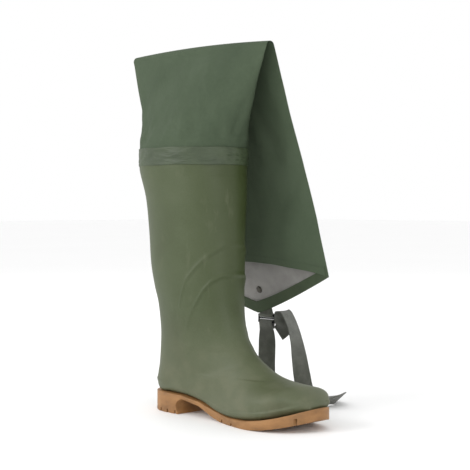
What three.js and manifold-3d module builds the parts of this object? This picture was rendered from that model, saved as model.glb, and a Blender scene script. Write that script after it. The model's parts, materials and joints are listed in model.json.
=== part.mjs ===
// A thigh wader for the right foot: a hollow moulded boot with a cleated outsole, a coated-cloth leg
// welded round its top, and the top of the leg folded over as a cuff that hangs on the inner side,
// with a belt strap sewn to the lowest point of the cuff's hem.
//
// Millimetres. +X points to the toe, +Y to the inner side of the leg, +Z up. The origin is on the
// ground, on the heel tread, under the middle of the leg.

import * as THREE from 'three';
import * as BufferGeometryUtils from 'three/addons/utils/BufferGeometryUtils.js';
import Module from 'manifold-3d';

const wasm = await Module();
wasm.setup();

// ---- driving dimensions ----

const SOLE_LENGTH = 296;
const HEEL_TO_ORIGIN = 60;
const BALL_WIDTH = 108;
const HEEL_HEIGHT = 28;
const SOLE_PLATE = 6;
const GROOVE_WIDTH = 3;
const LUG_PITCH = 24;
const HEEL_GROOVE_PITCH = 16;
const HEEL_GROOVE_DEPTH = 5;

const BOOT_TOP = 356;
const CALF_LENGTH = 171;
const CALF_WIDTH = 132;
const CALF_X = -0.6;
const SHELL_WALL = 2.6;
const LINING_WALL = 1.4;
const FOOTBED_THICKNESS = 4;

const CLOTH = 1.2;
const FOLD_HEIGHT = 514;
const FOLD_RADIUS = 11.5;
const FOLD_GAP = 4;
const FOLD_WIDTH = 274;
const FOLD_CENTRE_X = 4;
const FOLD_CENTRE_Y = 10;

const BAND_HEIGHT = 24;
const BAND_THICKNESS = 1.5;
const BAND_BELOW_JOINT = 10;

const CUFF_CREASE = 326;
const CUFF_PEAK = 66;
const CUFF_DIP = 21;
const MOUTH_WIDTH = 312;
const MOUTH_GAP = 11;
const CUFF_BULGE = 24;
const PEAK_X = -5;

const HEM_BAND = 15;
const HEM_THICKNESS = 1.0;
const SEAM_WIDTH = 14;
const SEAM_THICKNESS = 0.7;

const TAB_WIDTH = 27;
const TAB_THICKNESS = 1.6;
const TAB_LAP = 44;
const RIVET_FROM_HEM = 34;
const RIVET_SHANK = 2.0;
const RIVET_HEAD = 5.5;

const RING_BAR = 1.5;
const RING_DROP = 10;
const EYE_BELOW_HEM = 4.5;
const STRAP_WIDTH = 25;
const STRAP_THICKNESS = 1.6;

const GAP = 0.3;
// Bent layers that lie on each other keep a little more, because their facets do not match.
const LAYER_GAP = 0.6;
const RING_POINTS = 28;

const HEEL_BACK = -HEEL_TO_ORIGIN;
const HINGE_Z = FOLD_HEIGHT - FOLD_RADIUS;
const FOLD_MIDDLE = FOLD_RADIUS - FOLD_GAP;
// The cuff bows out round the leg over this length below the hinge line, and leans out by what it
// still needs to clear the calf at the top of the boot.
const WRAP_LENGTH = 270 * (CUFF_CREASE / 326);
const LEG_DROP = HINGE_Z - BOOT_TOP;
const BOW_AT_BOOT = CUFF_BULGE * Math.sin(Math.PI * Math.min(LEG_DROP / WRAP_LENGTH, 1));
const CUFF_LEAN = Math.atan((CALF_WIDTH / 2 - BOW_AT_BOOT) / LEG_DROP);
const FOLD_ANGLE = Math.PI - CUFF_LEAN;

// A place along the sole, as a share of its length from the back of the heel.
const along = (share) => HEEL_BACK + share * SOLE_LENGTH;
// A height on the foot, whose form grows with the sole's length over a heel of its own height.
// The tables of the foot are drawn for a sole 296 long and 108 wide, over a heel 28 high.
const FORM = SOLE_LENGTH / 296;
const BREADTH = BALL_WIDTH / 108;
const overSole = (height) => HEEL_HEIGHT + (height - 28) * FORM;

// ---- meshes ----

// A closed solid through rings of points that all run the same way round, closed at both ends.
function loft(rings) {
    const count = rings[0].length;
    const position = rings.flat().flatMap((p) => [p.x, p.y, p.z]);
    const index = [];
    for (let ring = 0; ring + 1 < rings.length; ring++) {
        for (let i = 0; i < count; i++) {
            const a = ring * count + i;
            const b = ring * count + ((i + 1) % count);
            index.push(a, b, b + count, a, b + count, a + count);
        }
    }
    // Each end is a strip between the two halves of its ring, so that a bowed ring closes cleanly too.
    for (const end of [0, rings.length - 1]) {
        const place = (i) => end * count + (i % count);
        for (let i = 0; i < count / 2; i++) {
            const corners = [place(i), place(i + 1), place(count - i - 1), place(count - i)];
            for (const [second, third] of [[1, 2], [2, 3]]) {
                const triangle = [corners[0], corners[second], corners[third]];
                if (new Set(triangle).size === 3) {
                    index.push(...(end === 0 ? triangle.reverse() : triangle));
                }
            }
        }
    }
    const geometry = new THREE.BufferGeometry();
    geometry.setAttribute('position', new THREE.Float32BufferAttribute(position, 3));
    geometry.setIndex(index);
    return geometry;
}

// A three.js geometry as a solid that can be joined and cut. A ring order that faced inwards is turned.
function solid(geometry) {
    const bare = geometry.clone();
    bare.deleteAttribute('normal');
    bare.deleteAttribute('uv');
    const merged = BufferGeometryUtils.mergeVertices(bare, 1e-4);
    const triVerts = Uint32Array.from(merged.index.array);
    const vertProperties = Float32Array.from(merged.attributes.position.array);
    const corner = (i) => new THREE.Vector3().fromArray(vertProperties, 3 * triVerts[i]);
    let volume = 0;
    for (let i = 0; i < triVerts.length; i += 3) {
        volume += corner(i).dot(corner(i + 1).cross(corner(i + 2)));
    }
    if (volume < 0) {
        for (let i = 0; i < triVerts.length; i += 3) {
            [triVerts[i + 1], triVerts[i + 2]] = [triVerts[i + 2], triVerts[i + 1]];
        }
    }
    return new wasm.Manifold(new wasm.Mesh({ numProp: 3, vertProperties, triVerts }));
}

// The geometry of a joined or cut solid.
function geometryOf(manifold) {
    const mesh = manifold.getMesh();
    const geometry = new THREE.BufferGeometry();
    const places = Float32Array.from(mesh.vertProperties);
    geometry.setAttribute('position', new THREE.BufferAttribute(places, 3));
    geometry.setIndex(new THREE.BufferAttribute(Uint32Array.from(mesh.triVerts), 1));
    return geometry;
}

// A box from its two corners.
function boxBetween(low, high) {
    const size = new THREE.Vector3().subVectors(high, low);
    const box = new THREE.BoxGeometry(size.x, size.y, size.z);
    const middle = new THREE.Vector3().addVectors(low, high).multiplyScalar(0.5);
    return solid(box.translate(middle.x, middle.y, middle.z));
}

// A wall that reaches across the whole width, from a side profile drawn in X and Z.
function acrossProfile(points) {
    const shape = new THREE.Shape(points);
    const wall = new THREE.ExtrudeGeometry(shape, { depth: 2 * BALL_WIDTH, bevelEnabled: false });
    return solid(wall.rotateX(Math.PI / 2).translate(0, BALL_WIDTH, 0));
}

function material(colour, roughness, metalness = 0) {
    return new THREE.MeshStandardMaterial({ color: colour, roughness, metalness });
}

const part = new THREE.Group();

function addPiece(name, manifold, look) {
    const mesh = new THREE.Mesh(geometryOf(manifold), look);
    mesh.name = name;
    part.add(mesh);
}

const BOOT_PVC = material(0x5a6340, 0.5);
const SOLE_PVC = material(0xb5804e, 0.55);
const LEG_CLOTH = material(0x5f6c5a, 0.75);
const TAPE = material(0x56634f, 0.6);
const KNIT = material(0x6c6d62, 0.95);
const FOAM = material(0x4c4d4a, 0.95);
const WEBBING = material(0x454b3c, 0.9);
const BLACK_PLASTIC = material(0x1d1f1e, 0.4);
const DARK_METAL = material(0x34332f, 0.35, 0.9);

// ---- sole outline and side lines ----

// The outline of the sole seen from above: share of the length, then of half the ball width.
const OUTLINE = [
    [0.0, 0.0], [0.03, -0.42], [0.1, -0.65], [0.22, -0.7], [0.36, -0.66], [0.48, -0.7], [0.6, -0.87],
    [0.72, -1.0], [0.83, -0.94], [0.915, -0.72], [0.97, -0.38], [1.0, 0.12], [0.985, 0.47],
    [0.93, 0.76], [0.84, 0.92], [0.73, 0.98], [0.62, 0.88], [0.5, 0.68], [0.38, 0.6], [0.24, 0.66],
    [0.1, 0.65], [0.03, 0.42],
];

const OUTLINE_STEPS = 72;

function soleBlock(low, high) {
    const corners = OUTLINE.map(([share, side]) => (
        new THREE.Vector3(along(share), (side * BALL_WIDTH) / 2, 0)
    ));
    const curve = new THREE.CatmullRomCurve3(corners, true, 'centripetal');
    const shape = new THREE.Shape(curve.getPoints(OUTLINE_STEPS).slice(0, -1));
    const block = new THREE.ExtrudeGeometry(shape, { depth: high - low, bevelEnabled: false });
    return solid(block.translate(0, 0, low));
}

// ---- boot ----

// The rings of the shaft: how far each is from the ankle to the top, then its back, its front and its
// half width, as shares of the calf's oval at the top.
const SHAFT_RINGS = [
    { rise: 1, back: 1, front: 1, half: 1 },
    { rise: 0.92, back: 1, front: 1, half: 1 },
    { rise: 0.735, back: 0.894, front: 1.019, half: 0.91 },
    { rise: 0.51, back: 0.835, front: 1.007, half: 0.85 },
    { rise: 0.284, back: 0.806, front: 1.007, half: 0.8 },
    { rise: 0.127, back: 0.73, front: 1.013, half: 0.75 },
    { rise: 0, back: 0.648, front: 1.036, half: 0.697 },
];
const ANKLE_HEIGHT = overSole(152);

// One ring of the foot: where it meets the front or top line, where it meets the back or bottom line,
// its half width, and how square it is at the bottom. The first of each pair is a share of the sole.
const FOOT_RINGS = [
    { ridge: [0.52, 130], keel: [0.028, 118], half: 42, square: 2.1 },
    { ridge: [0.545, 112], keel: [0.022, 92], half: 39.5, square: 2.2 },
    { ridge: [0.575, 99], keel: [0.014, 64], half: 38.5, square: 2.4 },
    { ridge: [0.61, 89], keel: [0.01, 42], half: 38, square: 2.8 },
    { ridge: [0.642, 82.5], keel: [0.035, 28], half: 37, square: 3.2 },
    { ridge: [0.67, 77], keel: [0.135, 28], half: 37, square: 5 },
    { ridge: [0.7, 71.5], keel: [0.255, 27], half: 36.5, square: 6 },
    { ridge: [0.73, 67], keel: [0.37, 21.5], half: 37.5, square: 6 },
    { ridge: [0.765, 63], keel: [0.485, 13], half: 42, square: 6 },
    { ridge: [0.805, 60], keel: [0.6, 9.5], half: 47, square: 6 },
    { ridge: [0.85, 58], keel: [0.715, 10.5], half: 50, square: 6 },
    { ridge: [0.893, 57], keel: [0.81, 14.5], half: 48, square: 5 },
    { ridge: [0.93, 54], keel: [0.885, 19.5], half: 40.5, square: 4 },
    { ridge: [0.962, 48], keel: [0.94, 24.5], half: 30, square: 3 },
    { ridge: [0.984, 41], keel: [0.975, 28.5], half: 18, square: 2.4 },
];

// The rings as plain corners in the side view, the same form for every size of foot.
// The toe of a right foot bends to its inner side.
const TOE_SHIFT = 7 * BREADTH;
const FOOT_SHIFT = -1 * BREADTH;
const TOE_START = 0.9;
const STATIONS = [
    ...SHAFT_RINGS.map((ring) => {
        const height = THREE.MathUtils.lerp(ANKLE_HEIGHT, BOOT_TOP, ring.rise);
        return {
            ridge: new THREE.Vector2(CALF_X + (ring.front * CALF_LENGTH) / 2, height),
            keel: new THREE.Vector2(CALF_X - (ring.back * CALF_LENGTH) / 2, height),
            half: (ring.half * CALF_WIDTH) / 2,
            square: 2,
            shift: 0,
        };
    }),
    ...FOOT_RINGS.map((ring) => ({
        ridge: new THREE.Vector2(along(ring.ridge[0]), overSole(ring.ridge[1])),
        keel: new THREE.Vector2(along(ring.keel[0]), overSole(ring.keel[1])),
        half: ring.half * BREADTH,
        square: ring.square,
        shift: ring.ridge[0] > TOE_START ? TOE_SHIFT : FOOT_SHIFT,
    })),
];
const FIRST_SOLE_STATION = SHAFT_RINGS.length + 4;

// The inward normal of a side line at one station.
function inwardNormal(line, i, turn) {
    const before = STATIONS[Math.max(i - 1, 0)][line];
    const after = STATIONS[Math.min(i + 1, STATIONS.length - 1)][line];
    const run = new THREE.Vector2().subVectors(after, before).normalize();
    return new THREE.Vector2(turn * run.y, -turn * run.x);
}

// The boot filled solid, drawn in by `inset` from its outer skin. `rise` carries it above its top.
function filledBoot(inset, rise = 0) {
    const rings = STATIONS.map((station, i) => {
        const ridge = station.ridge.clone().addScaledVector(inwardNormal('ridge', i, 1), inset);
        const keel = station.keel.clone().addScaledVector(inwardNormal('keel', i, -1), inset);
        const middle = new THREE.Vector2().addVectors(ridge, keel).multiplyScalar(0.5);
        const arm = new THREE.Vector2().subVectors(ridge, keel).multiplyScalar(0.5);
        return Array.from({ length: RING_POINTS }, (_, k) => {
            const angle = (2 * Math.PI * k) / RING_POINTS;
            const power = 2 / (Math.sin(angle) < 0 ? station.square : 2);
            const up = Math.sign(Math.sin(angle)) * Math.abs(Math.sin(angle)) ** power;
            const out = Math.sign(Math.cos(angle)) * Math.abs(Math.cos(angle)) ** power;
            const side = station.shift + out * (station.half - inset);
            return new THREE.Vector3(middle.x + up * arm.x, side, middle.y + up * arm.y);
        });
    });
    if (rise !== 0) {
        rings.unshift(rings[0].map((p) => p.clone().setZ(BOOT_TOP + rise)));
    }
    return solid(loft(rings));
}

const LINING_INSET = SHELL_WALL + GAP;
const CAVITY_INSET = LINING_INSET + LINING_WALL;

// The heights of the keel line under the foot, lowered by `drop`.
function keelLine(drop) {
    const points = STATIONS.slice(FIRST_SOLE_STATION)
        .map((station) => new THREE.Vector2(station.keel.x, station.keel.y - drop));
    const last = points.at(-1);
    return [
        new THREE.Vector2(HEEL_BACK - 1, overSole(28) - drop),
        ...points,
        new THREE.Vector2(along(1.01), last.y + 4 * FORM),
    ];
}

// The tread under the forefoot, from its back end to the spring of the toe: share, then height.
const TREAD = [
    [0.47, 3.5], [0.53, 0.6], [0.58, 0], [0.74, 0], [0.82, 2], [0.9, 6.5], [0.96, 11], [1.01, 16.5],
];
const BREAST = along(0.255);
const TREAD_START = along(0.46);
const TREAD_END = along(0.95);
// Up to here the grooves of the tread run out through its sides, and past it they stay inside a rim.
const RIM_START = along(0.7);
const RIM_GROOVE_HALF = BALL_WIDTH * 0.3;
const HEEL_GROOVES_START = along(0.045);
const HEEL_GROOVES_END = along(0.21);
const HEEL_GROOVE_INNER_END = BALL_WIDTH * 0.15;

// The height of the underside of the sole's plate at a place along it.
function plateAt(x) {
    const line = keelLine(SOLE_PLATE);
    const i = line.findIndex((p, k) => k > 0 && p.x >= x);
    const share = (x - line[i - 1].x) / (line[i].x - line[i - 1].x);
    return THREE.MathUtils.lerp(line[i - 1].y, line[i].y, share);
}

function makeOutsole() {
    const plateUnder = keelLine(SOLE_PLATE).filter((p) => p.x > BREAST);
    const waist = plateUnder.filter((p) => p.x < TREAD_START);
    const treadLine = TREAD.map(([share, height]) => new THREE.Vector2(along(share), height * FORM));
    const heelFloor = new THREE.Vector2(HEEL_BACK - 1, 0);
    // The breast of the heel curves in between the tread and the waist.
    const hollow = new THREE.QuadraticBezierCurve(
        new THREE.Vector2(along(0.235), 0),
        new THREE.Vector2(along(0.19), HEEL_HEIGHT * 0.55),
        new THREE.Vector2(BREAST, HEEL_HEIGHT - SOLE_PLATE),
    );
    const profile = [
        ...keelLine(GAP).reverse(), heelFloor, ...hollow.getPoints(6), ...waist, ...treadLine,
    ];
    let body = soleBlock(-1, 3 * HEEL_HEIGHT).intersect(acrossProfile(profile));
    for (let x = TREAD_START + LUG_PITCH; x < TREAD_END; x += LUG_PITCH) {
        const roof = Math.min(plateAt(x), plateAt(x + GROOVE_WIDTH)) - GAP;
        const reach = x < RIM_START ? BALL_WIDTH : RIM_GROOVE_HALF;
        body = body.subtract(boxBetween(
            new THREE.Vector3(x, -reach, -1),
            new THREE.Vector3(x + GROOVE_WIDTH, reach, roof),
        ));
    }
    for (let x = HEEL_GROOVES_START; x < HEEL_GROOVES_END; x += HEEL_GROOVE_PITCH) {
        const outer = boxBetween(
            new THREE.Vector3(x, -BALL_WIDTH, -1),
            new THREE.Vector3(x + GROOVE_WIDTH, -HEEL_GROOVE_INNER_END, HEEL_GROOVE_DEPTH),
        );
        body = body.subtract(outer).subtract(outer.mirror([0, 1, 0]));
    }
    return body;
}

// The footbed stops short of the heel's and the toe's curve.
const FOOTBED_START = along(0.05);
const FOOTBED_END = along(0.93);

function makeFootbed() {
    const floor = keelLine(-(CAVITY_INSET + GAP));
    const slab = [...floor, ...keelLine(-(CAVITY_INSET + GAP + FOOTBED_THICKNESS)).reverse()];
    const lane = acrossProfile(slab);
    const length = boxBetween(
        new THREE.Vector3(FOOTBED_START, -BALL_WIDTH, 0),
        new THREE.Vector3(FOOTBED_END, BALL_WIDTH, BOOT_TOP),
    );
    return filledBoot(CAVITY_INSET + 2 * GAP).intersect(lane).intersect(length);
}

// ---- leg, fold and cuff ----

// A cross-section of the cloth tube: 0 is the front crease, and the near half comes first.
function flatSection(i, halfWidth, halfGap) {
    const angle = (2 * Math.PI * i) / RING_POINTS;
    const x = Math.cos(angle);
    return { x: halfWidth * x, off: Math.sign(Math.sin(angle)) * halfGap * (1 - x * x) };
}

// The calf's oval at the same point of the ring.
function ovalSection(i, inset) {
    const angle = (2 * Math.PI * i) / RING_POINTS;
    return {
        x: Math.cos(angle) * (CALF_LENGTH / 2 - inset),
        off: Math.sin(angle) * (CALF_WIDTH / 2 - inset),
    };
}

// A hollow in the cloth stops this far short of the crease at each side.
const CREASE_INSET = 2;

// The cross-section of the cloth tube where it is folded flat, drawn in by `inset` from its outer face.
function foldedSection(i, inset, halfWidth = FOLD_WIDTH / 2, halfGap = FOLD_GAP) {
    const creaseInset = inset > 0 ? CREASE_INSET + inset : inset;
    return flatSection(i, halfWidth - creaseInset, halfGap - inset);
}

// The leg filled solid, from the boot's top to the hinge line.
function filledLeg(inset, bottom, top) {
    const straight = BOOT_TOP + BAND_HEIGHT - BAND_BELOW_JOINT;
    const shares = [0, 0.2, 0.4, 0.6, 0.8, 1];
    const heights = shares.map((share) => THREE.MathUtils.lerp(straight, HINGE_Z, share));
    const levels = [bottom, ...heights.filter((z) => z > bottom + 1 && z < top - 0.05), top];
    const rings = levels.map((z) => {
        const share = THREE.MathUtils.clamp((z - straight) / (HINGE_Z - straight), 0, 1);
        return Array.from({ length: RING_POINTS }, (_, i) => {
            const oval = ovalSection(i, inset);
            const flat = foldedSection(i, inset);
            const x = THREE.MathUtils.lerp(oval.x + CALF_X, flat.x + FOLD_CENTRE_X, share);
            const y = THREE.MathUtils.lerp(oval.off, FOLD_CENTRE_Y - FOLD_MIDDLE + flat.off, share);
            return new THREE.Vector3(x, y, z);
        });
    });
    return solid(loft(rings));
}

// The bend at the top, filled solid, swept round the hinge line between two angles.
const FOLD_STEPS = 10;
function filledFold(inset, from, to) {
    const rings = Array.from({ length: FOLD_STEPS + 1 }, (_, k) => {
        const angle = THREE.MathUtils.lerp(from, to, k / FOLD_STEPS);
        return Array.from({ length: RING_POINTS }, (_unused, i) => {
            const flat = foldedSection(i, inset);
            const radius = FOLD_MIDDLE - flat.off;
            return new THREE.Vector3(
                FOLD_CENTRE_X + flat.x,
                FOLD_CENTRE_Y - radius * Math.cos(angle),
                HINGE_Z + radius * Math.sin(angle),
            );
        });
    });
    return solid(loft(rings));
}

// How far the hem lies from the hinge line at a place across the cuff: the far layer has a peak.
function hemDistance(x, far) {
    const share = Math.min(Math.abs(x) / (MOUTH_WIDTH / 2), 1);
    if (far) {
        const reach = MOUTH_WIDTH / 2 + Math.sign(x - PEAK_X) * -PEAK_X;
        return CUFF_CREASE + CUFF_PEAK * (1 - Math.min(Math.abs(x - PEAK_X) / reach, 1) ** 1.15);
    }
    return CUFF_CREASE - CUFF_DIP * (1 - share ** 2);
}

// A point of the cuff. `i` is the place round the tube, and `travel` runs from 0 at the hinge line to 1
// at the hem.
function cuffPoint(i, travel, inset) {
    const run = THREE.MathUtils.clamp(travel, 0, 1);
    const width = THREE.MathUtils.lerp(FOLD_WIDTH, MOUTH_WIDTH, run) / 2;
    const gap = THREE.MathUtils.lerp(FOLD_GAP, MOUTH_GAP, run ** 1.5);
    const flat = foldedSection(i, inset, width, gap);
    const far = flat.off < 0;
    const distance = travel * hemDistance(flat.x, far);
    const wrap = Math.sin(Math.PI * THREE.MathUtils.clamp(distance / WRAP_LENGTH, 0, 1));
    const bulge = CUFF_BULGE * wrap * (1 - (flat.x / width) ** 2);
    const outward = FOLD_MIDDLE - flat.off + bulge;
    return new THREE.Vector3(
        FOLD_CENTRE_X + flat.x,
        FOLD_CENTRE_Y + outward * Math.cos(CUFF_LEAN) + distance * Math.sin(CUFF_LEAN),
        HINGE_Z + outward * Math.sin(CUFF_LEAN) - distance * Math.cos(CUFF_LEAN),
    );
}

// A ring of the cuff. Between its whole steps the cloth runs straight, so that layers stay parallel.
const CUFF_STEPS = 10;
// The mouth is slanted, so a solid that hollows out the cuff runs this share of its length past it.
const CAP_CLEAR = 0.1;
function cuffRing(travel, inset) {
    const step = THREE.MathUtils.clamp(Math.floor(travel * CUFF_STEPS), 0, CUFF_STEPS - 1);
    const share = travel * CUFF_STEPS - step;
    return Array.from({ length: RING_POINTS }, (_, i) => {
        const before = cuffPoint(i, step / CUFF_STEPS, inset);
        return before.lerp(cuffPoint(i, (step + 1) / CUFF_STEPS, inset), share);
    });
}

function filledCuff(inset, from, to) {
    const whole = Array.from({ length: CUFF_STEPS + 1 }, (_, k) => k / CUFF_STEPS);
    const travels = [from, ...whole.filter((travel) => travel > from + 0.004 && travel < to - 0.004), to];
    return solid(loft(travels.map((travel) => cuffRing(travel, inset))));
}

// ---- boot pieces ----

addPiece('outsole', makeOutsole(), SOLE_PVC);
addPiece('boot_shell', filledBoot(0).subtract(filledBoot(SHELL_WALL, 5)), BOOT_PVC);
addPiece('boot_lining', filledBoot(LINING_INSET).subtract(filledBoot(CAVITY_INSET, 5)), KNIT);
addPiece('footbed', makeFootbed(), FOAM);

// ---- leg pieces ----

const BAND_LOW = BOOT_TOP - BAND_BELOW_JOINT;
const BAND_HIGH = BAND_LOW + BAND_HEIGHT;
const bandOuter = filledLeg(-(GAP + BAND_THICKNESS), BAND_LOW, BAND_HIGH);
addPiece('joint_band', bandOuter.subtract(filledLeg(-GAP, BAND_LOW - 5, BAND_HIGH + 5)), TAPE);

const legOuter = filledLeg(0, BOOT_TOP + GAP, HINGE_Z - GAP);
addPiece('leg_cloth', legOuter.subtract(filledLeg(CLOTH, BOOT_TOP - 5, HINGE_Z + 5)), LEG_CLOTH);

const HALF_GAP_ANGLE = GAP / 2 / FOLD_GAP;
const foldOuter = filledFold(0, HALF_GAP_ANGLE, FOLD_ANGLE - HALF_GAP_ANGLE);
const foldHollow = filledFold(CLOTH, -HALF_GAP_ANGLE, FOLD_ANGLE + HALF_GAP_ANGLE);
addPiece('fold_cloth', foldOuter.subtract(foldHollow), LEG_CLOTH);

// The seam tape lies inside the cloth, down the inner side of the leg and on into the cuff.
function seamLane(low, high) {
    return boxBetween(
        new THREE.Vector3(FOLD_CENTRE_X - SEAM_WIDTH / 2, low.y, low.z),
        new THREE.Vector3(FOLD_CENTRE_X + SEAM_WIDTH / 2, high.y, high.z),
    );
}
const TAPE_INSET = CLOTH + LAYER_GAP;
const legTapeLane = seamLane(
    new THREE.Vector3(0, FOLD_GAP, BOOT_TOP + 2),
    new THREE.Vector3(0, CALF_WIDTH, HINGE_Z - 3 * FOLD_GAP),
);
const legTape = filledLeg(TAPE_INSET, BOOT_TOP, HINGE_Z + 5)
    .subtract(filledLeg(TAPE_INSET + SEAM_THICKNESS, BOOT_TOP - 5, HINGE_Z + 10));
addPiece('leg_seam_tape', legTape.intersect(legTapeLane), TAPE);

// ---- cuff pieces ----

const CUFF_START = GAP / CUFF_CREASE;
const HEM_SHARE = 1 - HEM_BAND / CUFF_CREASE;

// A point on the far layer's outer face, at a place across it and a distance from the hinge line.
function onFarLayer(x, distance) {
    const offset = x - FOLD_CENTRE_X;
    const travel = distance / hemDistance(offset, true);
    const width = THREE.MathUtils.lerp(FOLD_WIDTH, MOUTH_WIDTH, travel) / 2;
    const i = RING_POINTS * (1 - Math.acos(offset / width) / (2 * Math.PI));
    return cuffPoint(i, travel, 0);
}

const TAB_X = 10;
const HEM_AT_TAB = hemDistance(TAB_X - FOLD_CENTRE_X, true);
const hemTip = onFarLayer(TAB_X, HEM_AT_TAB);
const tabTop = onFarLayer(TAB_X, HEM_AT_TAB - TAB_LAP);
const tabDown = new THREE.Vector3().subVectors(hemTip, tabTop).normalize();
const tabOut = new THREE.Vector3(0, -tabDown.z, tabDown.y);

// The frame of the tab: x across, y out of the cloth and z down the tab, from the tip of the hem.
const HEM_FRAME = new THREE.Matrix4()
    .makeBasis(new THREE.Vector3(-1, 0, 0), tabOut, tabDown)
    .setPosition(hemTip);
const atHem = (manifold) => manifold.transform(HEM_FRAME.elements);

function roundBar(radius, length, segments = 12) {
    return solid(new THREE.CylinderGeometry(radius, radius, length, segments).rotateZ(Math.PI / 2));
}

const TAB_LIFT = 2 * LAYER_GAP;
const EYE_OUTER = RING_BAR + GAP + TAB_THICKNESS;
const EYE_CENTRE = new THREE.Vector3(0, TAB_LIFT + TAB_THICKNESS / 2, EYE_OUTER + EYE_BELOW_HEM);
const RIVET_AT = -RIVET_FROM_HEM;

function rivetBore() {
    const radius = RIVET_SHANK + GAP;
    return solid(new THREE.CylinderGeometry(radius, radius, 12, 16)).translate([0, 0, RIVET_AT]);
}

function makeTab() {
    const strip = boxBetween(
        new THREE.Vector3(-TAB_WIDTH / 2, TAB_LIFT, -TAB_LAP),
        new THREE.Vector3(TAB_WIDTH / 2, TAB_LIFT + TAB_THICKNESS, EYE_CENTRE.z),
    );
    const eye = roundBar(EYE_OUTER, TAB_WIDTH, 16).translate(EYE_CENTRE.toArray());
    const hole = roundBar(RING_BAR + GAP, TAB_WIDTH + 4, 16).translate(EYE_CENTRE.toArray());
    return strip.add(eye).subtract(hole).subtract(rivetBore());
}

// The rivet: a washer inside the cloth, a shank through cloth and tab, and a domed head outside.
function makeRivet() {
    const inside = -(CLOTH + LAYER_GAP);
    const outside = TAB_LIFT + TAB_THICKNESS + GAP;
    const profile = [
        [0, inside - 1.2], [RIVET_HEAD - 1, inside - 1.2], [RIVET_HEAD, inside],
        [RIVET_SHANK, inside], [RIVET_SHANK, outside], [RIVET_HEAD, outside],
        [RIVET_HEAD - 0.6, outside + 0.9], [RIVET_HEAD - 2.4, outside + 1.6], [0, outside + 1.8],
    ];
    const lathe = new THREE.LatheGeometry(profile.map(([r, y]) => new THREE.Vector2(r, y)), 20);
    return solid(lathe).translate([0, 0, RIVET_AT]);
}

const cuffHollow = filledCuff(CLOTH, -CAP_CLEAR / 4, 1 + CAP_CLEAR);
const cuffCloth = filledCuff(0, CUFF_START, 1).subtract(cuffHollow).subtract(atHem(rivetBore()));
addPiece('cuff_cloth', cuffCloth, LEG_CLOTH);

const hemHollow = filledCuff(TAPE_INSET + HEM_THICKNESS, HEM_SHARE - CAP_CLEAR, 1 + CAP_CLEAR);
addPiece('hem_band', filledCuff(TAPE_INSET, HEM_SHARE, 1).subtract(hemHollow), LEG_CLOTH);

// The cuff's length of seam tape lies on its near layer, inside, and ends at the hem band.
const TAPE_START = 0.15;
const TAPE_CLEAR = 0.005;
const cuffTapeRing = filledCuff(TAPE_INSET, TAPE_START, HEM_SHARE - TAPE_CLEAR)
    .subtract(filledCuff(TAPE_INSET + SEAM_THICKNESS, 0, 1 + CAP_CLEAR));
const nearLane = Array.from({ length: CUFF_STEPS + 1 }, (_, k) => {
    const middle = cuffPoint(RING_POINTS / 4, k / CUFF_STEPS, 0);
    const inward = 3.5 + (3 * k) / CUFF_STEPS;
    return [[-1, -1], [1, -1], [1, inward], [-1, inward]].map(([side, out]) => new THREE.Vector3(
        FOLD_CENTRE_X + (side * SEAM_WIDTH) / 2,
        middle.y + out * Math.cos(CUFF_LEAN),
        middle.z + out * Math.sin(CUFF_LEAN),
    ));
});
addPiece('cuff_seam_tape', cuffTapeRing.intersect(solid(loft(nearLane))), TAPE);

addPiece('strap_tab', atHem(makeTab()), WEBBING);
addPiece('tab_rivet', atHem(makeRivet()), DARK_METAL);

// ---- belt strap ----

// The loop ring hangs straight down from the eye of the tab, whose middle is the strap's hinge.
const hinge = EYE_CENTRE.clone().applyMatrix4(HEM_FRAME);

function makeRing() {
    const halfSpan = TAB_WIDTH / 2 + 1 + RING_BAR;
    const corners = [[-1, 0], [1, 0], [1, -RING_DROP], [-1, -RING_DROP]]
        .map(([side, z]) => new THREE.Vector3(side * halfSpan, 0, z));
    let ring = null;
    corners.forEach((corner, k) => {
        const next = corners[(k + 1) % corners.length];
        const middle = new THREE.Vector3().addVectors(corner, next).multiplyScalar(0.5);
        const length = corner.distanceTo(next);
        const bar = new THREE.CylinderGeometry(RING_BAR, RING_BAR, length, 12);
        const lying = k % 2 === 0 ? bar.rotateZ(Math.PI / 2) : bar.rotateX(Math.PI / 2);
        const knuckle = new THREE.SphereGeometry(RING_BAR * 1.15, 12, 8).translate(...corner.toArray());
        const side = solid(lying.translate(...middle.toArray())).add(solid(knuckle));
        ring = ring ? ring.add(side) : side;
    });
    return ring.translate(hinge.toArray());
}
addPiece('loop_ring', makeRing(), BLACK_PLASTIC);

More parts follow.
